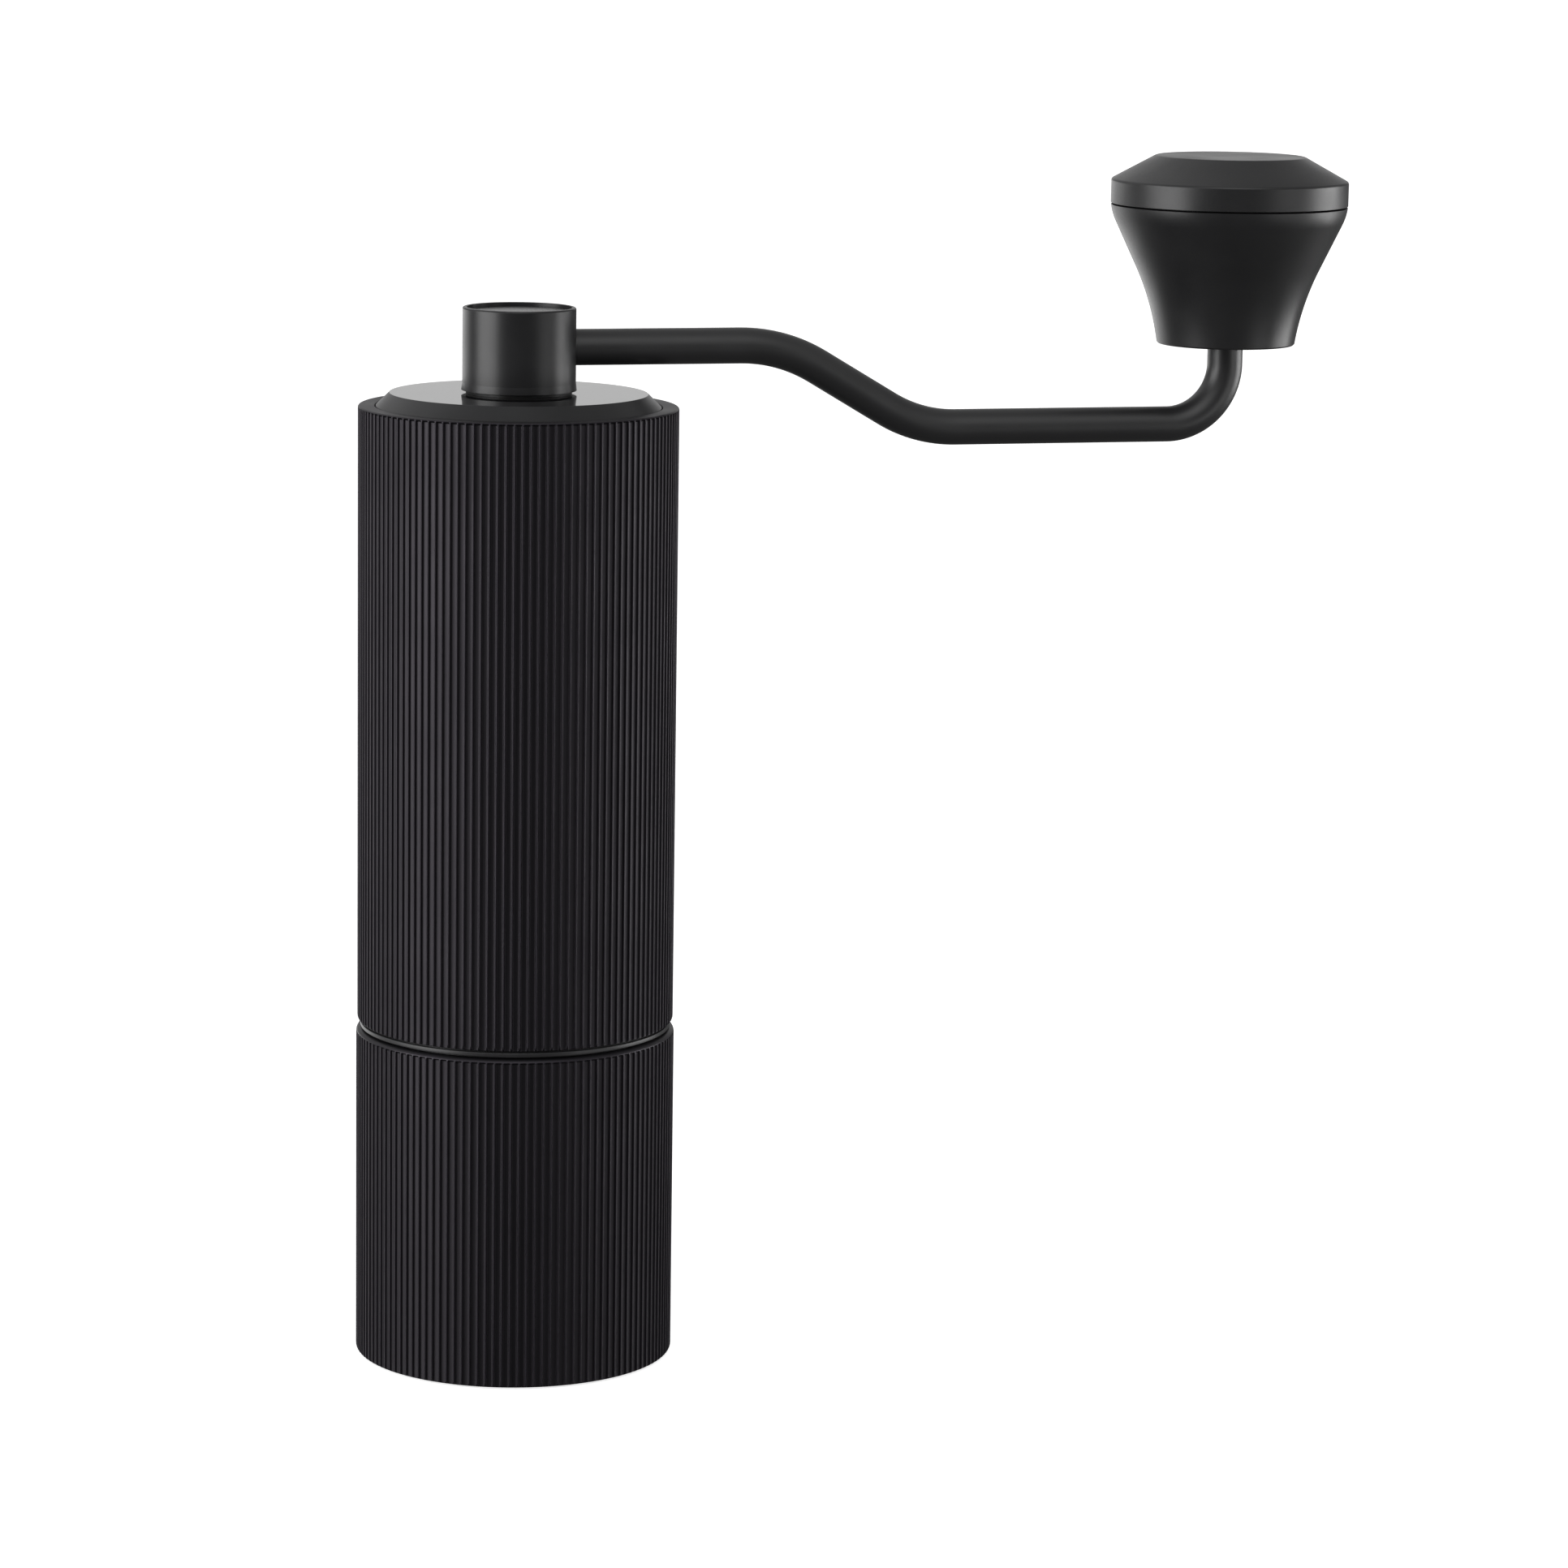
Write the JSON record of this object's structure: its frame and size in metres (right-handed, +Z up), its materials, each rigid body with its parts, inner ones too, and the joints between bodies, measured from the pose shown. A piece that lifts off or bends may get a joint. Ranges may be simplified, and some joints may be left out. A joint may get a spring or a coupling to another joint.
{
  "type": "hand crank coffee grinder",
  "caption": "Slim upright hand coffee grinder: finely ribbed barrel over a ribbed catch cup, flush lid, and a bent crank arm with a flared knob that turns a conical burr.",
  "frame": {"origin": "centre of the foot pad's underside, on the barrel's axis", "axes": "+Z up along the barrel's axis, +X along the crank arm at rest"},
  "size_m": [0.1662, 0.0524, 0.1975],
  "materials": {
    "ribbed_black": "black anodised, finely ribbed",
    "satin_black_metal": "black anodised, satin",
    "hub_black": "black anodised, fine satin",
    "arm_black": "steel rod with a satin black coat",
    "knob_black": "moulded, soft satin",
    "pad_rubber": "matte silicone",
    "seal_rubber": "smooth",
    "burr_steel": "hardened and ground",
    "shaft_steel": "turned stainless",
    "bearing_steel": "polished",
    "spring_steel": "drawn wire and stamped strip",
    "screw_steel": "dark socket screws and washers",
    "bridge_metal": "plain machined",
    "dial_metal": "dark anodised",
    "cage_brass": "stamped",
    "bush_plastic": "natural acetal"
  },
  "bodies": {
    "cup": {"catch_cup": "ribbed_black", "cup_foot_pad": "pad_rubber"},
    "barrel": {"barrel_shell": "ribbed_black", "lower_housing": "satin_black_metal", "spigot_o_rings": "seal_rubber", "upper_bridge": "bridge_metal", "outer_burr": "burr_steel", "burr_grub_screws": "screw_steel", "lower_snap_ring": "spring_steel", "upper_snap_ring": "spring_steel", "lower_bearing_outer_race": "bearing_steel", "lower_bearing_shields": "bearing_steel", "upper_bearing_outer_race": "bearing_steel", "upper_bearing_shields": "bearing_steel"},
    "upper_balls": {"upper_bearing_balls": "bearing_steel", "upper_bearing_cage": "cage_brass"},
    "lower_balls": {"lower_bearing_balls": "bearing_steel", "lower_bearing_cage": "cage_brass"},
    "shaft": {"drive_shaft": "shaft_steel", "shaft_circlip": "spring_steel", "spring_washer": "screw_steel", "lower_bearing_inner_race": "bearing_steel", "upper_bearing_inner_race": "bearing_steel"},
    "burr": {"inner_burr": "burr_steel", "burr_spring": "spring_steel", "detent_balls": "bearing_steel", "detent_springs": "spring_steel"},
    "dial": {"adjuster_dial": "dial_metal"},
    "lid": {"lid": "satin_black_metal", "lid_o_ring": "seal_rubber", "lid_bush": "bush_plastic"},
    "crank": {"crank_hub": "hub_black", "hub_socket": "shaft_steel", "hub_circlip": "spring_steel", "arm_set_screw": "screw_steel", "hub_cap": "hub_black", "crank_arm": "arm_black", "knob_washer": "screw_steel", "knob_screw": "screw_steel"},
    "knob": {"knob_shell": "knob_black", "knob_cap": "knob_black", "knob_lower_bush": "bush_plastic", "knob_upper_bush": "bush_plastic"}
  },
  "joints": [
    {"name": "barrel_lift", "type": "slide", "parent": "cup", "child": "barrel", "axis": [0, 0, 1], "range_m": [0, 0.06]},
    {"name": "lid_lift", "type": "slide", "parent": "barrel", "child": "lid", "axis": [0, 0, 1], "range_m": [0, 0.035]},
    {"name": "crank_turn", "type": "hinge", "parent": "lid", "child": "crank", "pos_m": [0, 0, 0.16], "axis": [0, 0, 1], "continuous": true},
    {"name": "knob_spin", "type": "hinge", "parent": "crank", "child": "knob", "pos_m": [0.1203, 0, 0.176], "axis": [0, 0, 1], "continuous": true},
    {"name": "shaft_turn", "type": "hinge", "parent": "barrel", "child": "shaft", "pos_m": [0, 0, 0.1], "axis": [0, 0, 1], "continuous": true},
    {"name": "upper_balls_roll", "type": "hinge", "parent": "barrel", "child": "upper_balls", "pos_m": [0, 0, 0.143], "axis": [0, 0, 1], "continuous": true},
    {"name": "lower_balls_roll", "type": "hinge", "parent": "barrel", "child": "lower_balls", "pos_m": [0, 0, 0.0725], "axis": [0, 0, 1], "continuous": true},
    {"name": "burr_slide", "type": "slide", "parent": "shaft", "child": "burr", "axis": [0, 0, 1], "range_m": [-0.0015, 0.0005], "deforming": ["burr_spring"]},
    {"name": "dial_turn", "type": "hinge", "parent": "burr", "child": "dial", "pos_m": [0, 0, 0.045], "axis": [0, 0, 1], "range_deg": [-540.1, 180.1]}
  ],
  "couplings": [
    {"joint": "shaft_turn", "follows": "crank_turn", "ratio": 1},
    {"joint": "upper_balls_roll", "follows": "crank_turn", "ratio": 0.41667},
    {"joint": "lower_balls_roll", "follows": "crank_turn", "ratio": 0.41667},
    {"joint": "dial_turn", "follows": "burr_slide", "rad_per_m": 6283.2}
  ]
}
